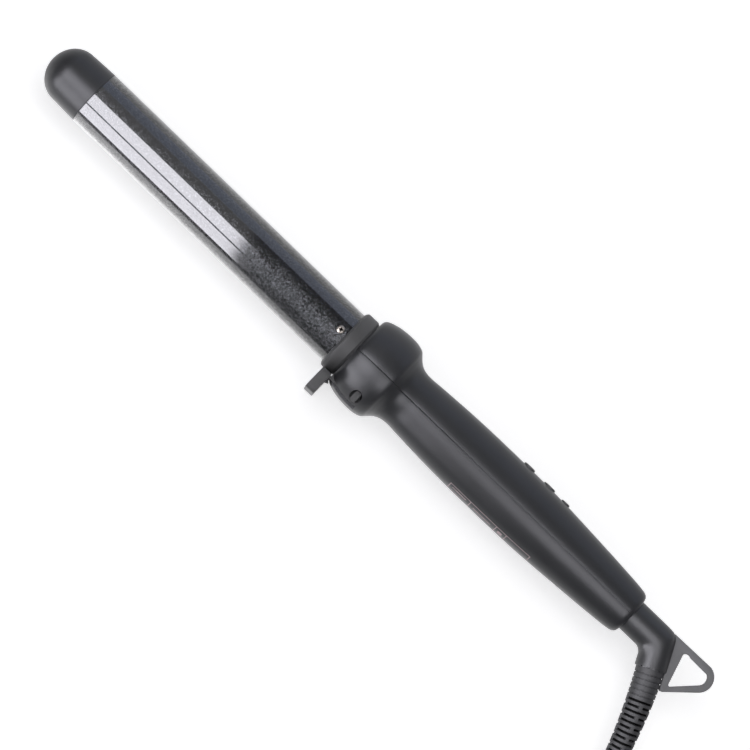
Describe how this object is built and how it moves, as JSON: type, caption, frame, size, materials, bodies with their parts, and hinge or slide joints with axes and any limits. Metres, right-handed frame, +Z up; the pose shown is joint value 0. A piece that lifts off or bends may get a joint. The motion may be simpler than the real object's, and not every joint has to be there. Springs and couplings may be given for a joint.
{
  "type": "curling iron",
  "caption": "Clipless curling iron: round heated barrel with domed cool tip, guard ring and folding rest foot, split handle with push buttons, swivel cord with a hang loop.",
  "frame": {"origin": "centre of the footprint of the iron without its cord, on the surface that the iron lies on", "axes": "+X runs along the barrel and handle from the tip to the cord, +Y points to the side with the buttons, away from the rest foot, +Z up"},
  "size_m": [0.5045, 0.1491, 0.0432],
  "materials": {
    "soft_touch": "fine matte, soft-touch",
    "barrel_coat": "glossy black ceramic coat with fine glitter",
    "tip": "matte, smooth",
    "cord_rubber": "matte",
    "tie_fabric": "woven hook-and-loop",
    "steel": "zinc plated",
    "aluminium": "as extruded",
    "ceramic": "unglazed",
    "phenolic": "moulded, matte",
    "board": "solder mask",
    "copper": "bright",
    "blade_brass": "bright",
    "wire_red": "silicone",
    "wire_white": "silicone",
    "lens": "clear, tinted"
  },
  "bodies": {
    "handle": {"handle_shell_upper": "soft_touch", "handle_shell_lower": "soft_touch", "heat_guard_ring": "soft_touch", "barrel_tube": "barrel_coat", "cool_tip": "tip", "barrel_screw": "steel", "shell_screw_front": "steel", "shell_screw_rear": "steel", "switch_power": "steel", "switch_minus": "steel", "switch_plus": "steel", "heater_shoe_upper": "aluminium", "heater_shoe_lower": "aluminium", "ceramic_heater": "ceramic", "thermistor": "ceramic", "indicator_led": "ceramic", "barrel_socket": "phenolic", "brush_holder": "phenolic", "control_board": "board", "brush_line": "copper", "brush_neutral": "copper", "thermal_fuse": "blade_brass", "heater_lead_line": "wire_red", "fuse_lead": "wire_red", "supply_lead_line": "wire_red", "heater_lead_neutral": "wire_white", "thermistor_lead": "wire_white", "supply_lead_neutral": "wire_white", "indicator_lens": "lens"},
    "stand": {"rest_stand": "soft_touch"},
    "power_key": {"button_power": "soft_touch"},
    "minus_key": {"button_minus": "soft_touch"},
    "plus_key": {"button_plus": "soft_touch"},
    "swivel": {"swivel_elbow": "soft_touch", "slip_ring_line": "copper", "slip_ring_neutral": "copper", "cord_core_line": "wire_red", "cord_core_neutral": "wire_white", "strain_relief": "cord_rubber", "mains_cord": "cord_rubber", "cord_coil": "cord_rubber", "cord_tail": "cord_rubber", "cord_tie": "tie_fabric", "plug_body": "cord_rubber", "plug_blade_line": "blade_brass", "plug_blade_neutral": "blade_brass"}
  },
  "joints": [
    {"name": "stand_fold", "type": "hinge", "parent": "handle", "child": "stand", "pos_m": [-0.0011, -0.01263, 0.0216], "axis": [0, 0, 1], "range_deg": [0, 90]},
    {"name": "cord_swivel", "type": "hinge", "parent": "handle", "child": "swivel", "pos_m": [0.1496, 0.00328, 0.0216], "axis": [1, 0, 0], "continuous": true},
    {"name": "power_press", "type": "slide", "parent": "handle", "child": "power_key", "axis": [0, -1, 0], "range_m": [0, 0.0004], "stiffness_N_per_m": 1500},
    {"name": "minus_press", "type": "slide", "parent": "handle", "child": "minus_key", "axis": [0, -1, 0], "range_m": [0, 0.0004], "stiffness_N_per_m": 1500},
    {"name": "plus_press", "type": "slide", "parent": "handle", "child": "plus_key", "axis": [0, -1, 0], "range_m": [0, 0.0004], "stiffness_N_per_m": 1500}
  ]
}
